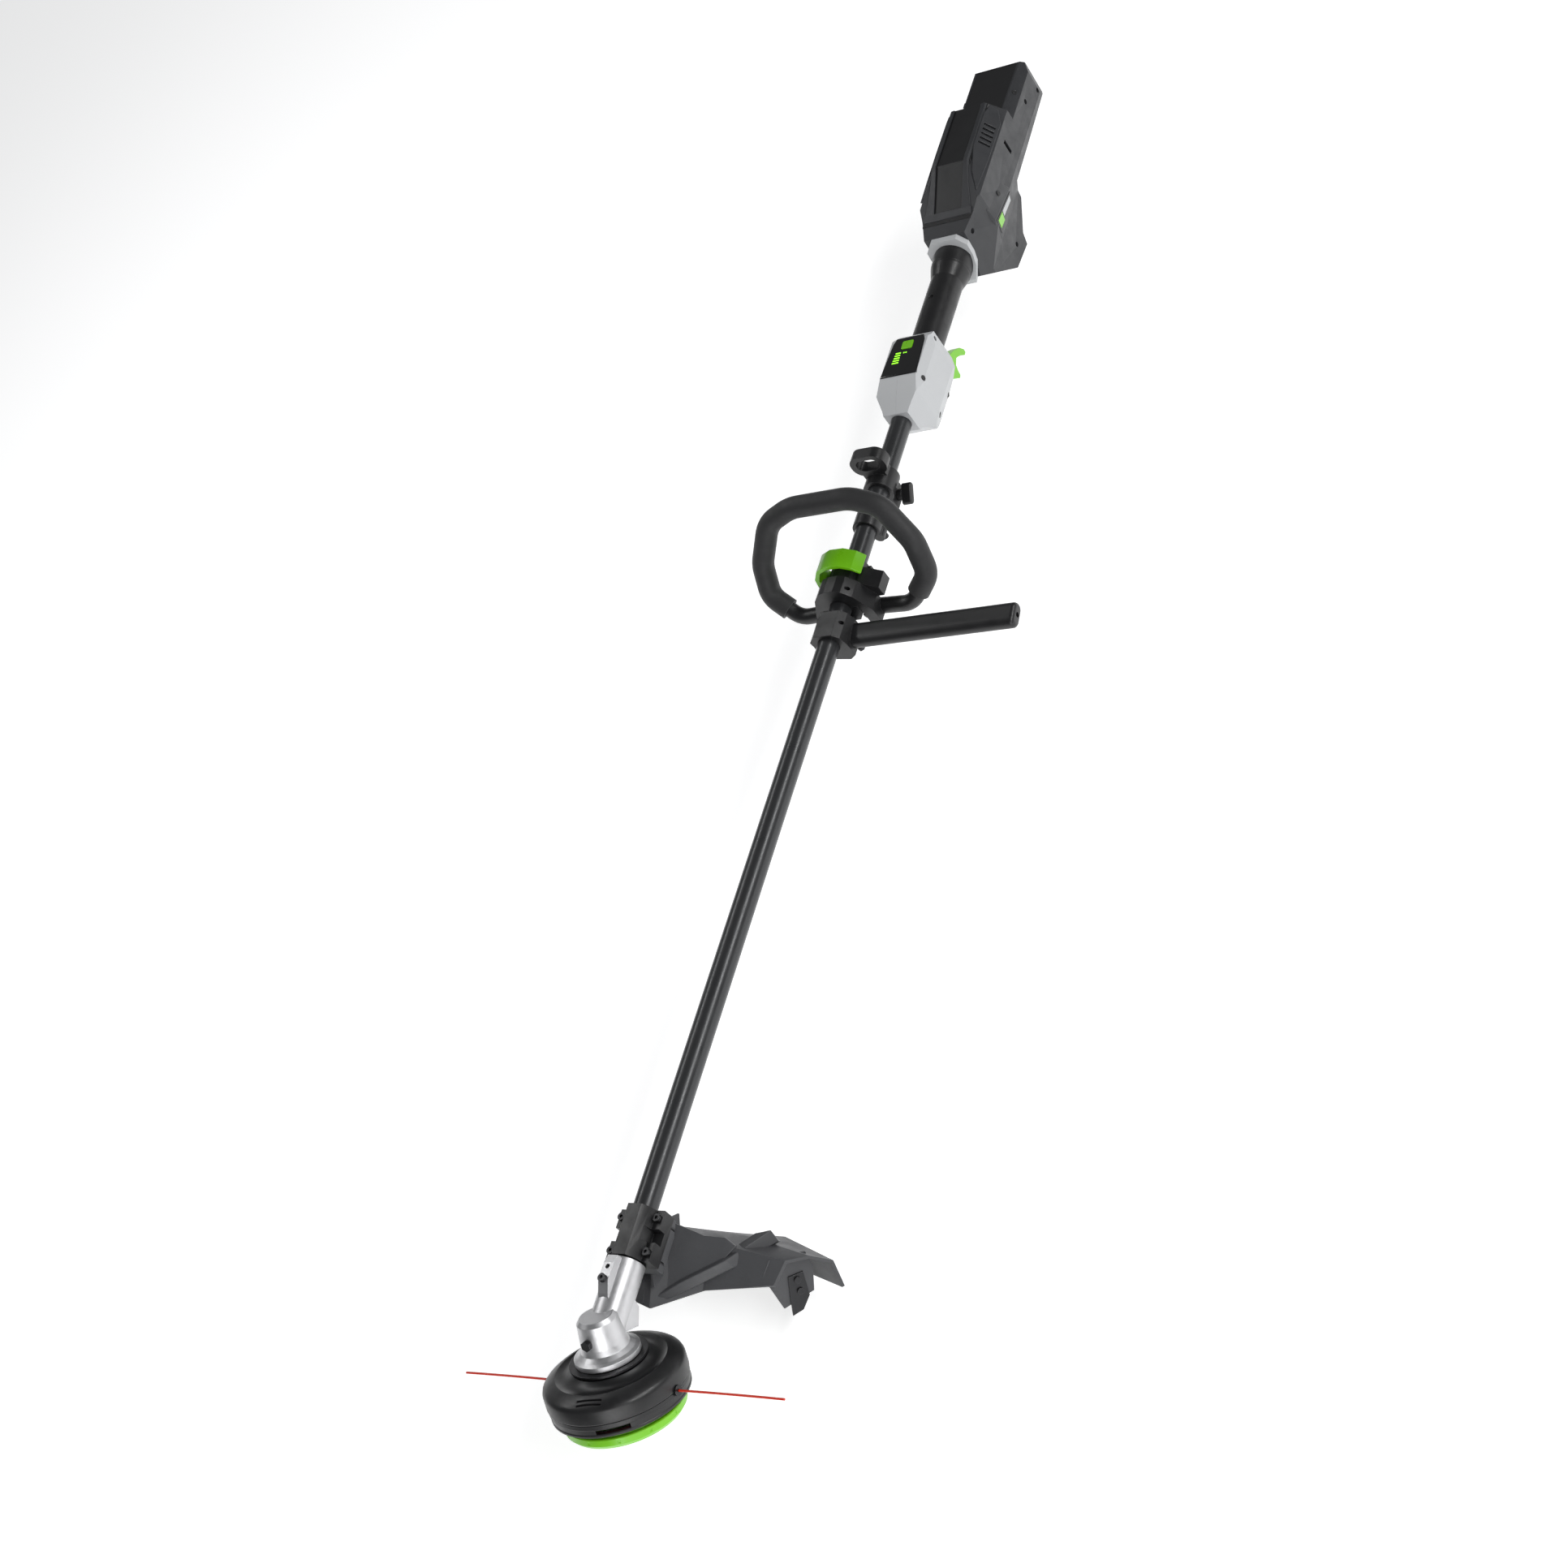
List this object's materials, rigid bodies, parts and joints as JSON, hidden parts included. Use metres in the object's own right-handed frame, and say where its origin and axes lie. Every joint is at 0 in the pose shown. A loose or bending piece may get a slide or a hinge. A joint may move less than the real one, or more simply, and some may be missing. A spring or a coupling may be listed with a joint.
{
  "type": "string trimmer",
  "caption": "Battery string trimmer: straight shaft, bevel gear head with bump-feed line spool, guard, front loop handle with barrier bar, harness hanger, trigger grip and rear power unit.",
  "frame": {"origin": "centre of the harness hanger's eye, above the shaft", "axes": "+X along the shaft from the cutting head to the battery end, +Z the tool's top side, +Y the operator's right"},
  "size_m": [1.8432, 0.427, 0.2658],
  "materials": {
    "graphite": "fine moulded texture",
    "black": "fine moulded texture",
    "smooth_black": "smooth satin",
    "light_grey": "fine moulded texture",
    "lime": "smooth moulded",
    "cast_silver": "cast and painted silver",
    "shaft_coat": "dark satin metallic coat",
    "steel": "machined",
    "black_steel": "black oxide",
    "soft_grip": "soft overmould",
    "line_red": "extruded nylon",
    "guard_grey": "moulded",
    "bush": "natural nylon",
    "board": "laminate",
    "motor": "laminated steel"
  },
  "bodies": {
    "shaft_unit": {"gear_case": "cast_silver", "grease_plug": "black_steel", "ball_bearings": "steel", "shaft_tube": "shaft_coat", "shaft_bushes": "bush", "guard_clamp": "black", "guard": "guard_grey", "line_cutter": "steel", "cap_screws": "black_steel", "cutter_screws": "black_steel", "stop_collar": "black", "control_housing_left": "light_grey", "control_housing_right": "light_grey", "display_panel": "smooth_black", "display_board": "board", "pivot_pins": "steel", "trigger_switch": "black", "trigger_spring": "steel", "rear_grip_left": "soft_grip", "rear_grip_right": "soft_grip", "rear_housing_left": "graphite", "rear_housing_right": "graphite", "top_cover": "smooth_black", "vent_panels": "graphite", "collar_band": "light_grey", "motor_stator": "motor", "control_board": "board", "battery_tray": "black", "housing_screws": "black_steel"},
    "drive_line": {"drive_shaft": "steel", "pinion_gear": "steel", "motor_rotor": "motor", "cooling_fan": "black"},
    "cutting_head": {"driven_gear": "steel", "output_shaft": "steel", "dust_cover": "black", "head_housing": "graphite", "head_base": "black", "line_eyelets": "steel", "head_nut": "steel", "line_end_left": "line_red", "line_end_right": "line_red"},
    "line_spool": {"spool": "black", "wound_line": "line_red"},
    "feed_knob": {"bump_knob": "lime", "knob_spring": "steel"},
    "front_handle": {"loop_handle": "black", "loop_grips": "soft_grip", "handle_clamp_jaw": "black", "lever_pin": "steel", "barrier_bar": "black", "tie_bolts": "black_steel"},
    "quick_lever": {"clamp_lever": "lime"},
    "hanger": {"hanger_clamp": "black", "hanger_nut": "steel"},
    "hanger_wing": {"hanger_knob": "black"},
    "trigger_lever": {"trigger": "lime"},
    "power_key": {"power_button": "lime"},
    "latch_slide": {"battery_latch": "lime"}
  },
  "joints": [
    {"name": "head_spin", "type": "hinge", "parent": "shaft_unit", "child": "cutting_head", "pos_m": [-1.074, 0, -0.0335], "axis": [0.5736, 0, 0.8192], "continuous": true},
    {"name": "drive_spin", "type": "hinge", "parent": "shaft_unit", "child": "drive_line", "pos_m": [-1.074, 0, -0.0335], "axis": [1, 0, 0], "continuous": true},
    {"name": "spool_turn", "type": "hinge", "parent": "cutting_head", "child": "line_spool", "pos_m": [-1.074, 0, -0.0335], "axis": [0.5736, 0, 0.8192], "continuous": true},
    {"name": "knob_bump", "type": "slide", "parent": "line_spool", "child": "feed_knob", "axis": [0.5736, 0, 0.8192], "range_m": [0, 0.006], "stiffness_N_per_m": 900, "springref_m": -0.006, "deforming": ["knob_spring"]},
    {"name": "trigger_pull", "type": "hinge", "parent": "shaft_unit", "child": "trigger_lever", "pos_m": [0.188, 0, -0.0635], "axis": [0, -1, 0], "range_deg": [0, 10], "stiffness_Nm_per_rad": 0.6, "springref_deg": -11.46},
    {"name": "power_press", "type": "slide", "parent": "shaft_unit", "child": "power_key", "axis": [0, 0, -1], "range_m": [0, 0.001], "stiffness_N_per_m": 800, "springref_m": -0.001},
    {"name": "latch_pull", "type": "slide", "parent": "shaft_unit", "child": "latch_slide", "axis": [0, 0, -1], "range_m": [0, 0.003], "stiffness_N_per_m": 700, "springref_m": -0.004},
    {"name": "handle_slide", "type": "slide", "parent": "shaft_unit", "child": "front_handle", "axis": [1, 0, 0], "range_m": [-0.2, 0.045]},
    {"name": "quick_lever_open", "type": "hinge", "parent": "front_handle", "child": "quick_lever", "pos_m": [-0.149, 0.029, -0.0395], "axis": [-1, 0, 0], "range_deg": [0, 80]},
    {"name": "hanger_slide", "type": "slide", "parent": "shaft_unit", "child": "hanger", "axis": [1, 0, 0], "range_m": [-0.03, 0.06]},
    {"name": "hanger_knob_turn", "type": "hinge", "parent": "hanger", "child": "hanger_wing", "pos_m": [-0.007, 0, -0.0565], "axis": [0, -1, 0], "range_deg": [0, 360]}
  ],
  "couplings": [
    {"joint": "drive_spin", "follows": "head_spin", "ratio": 1.4286}
  ]
}
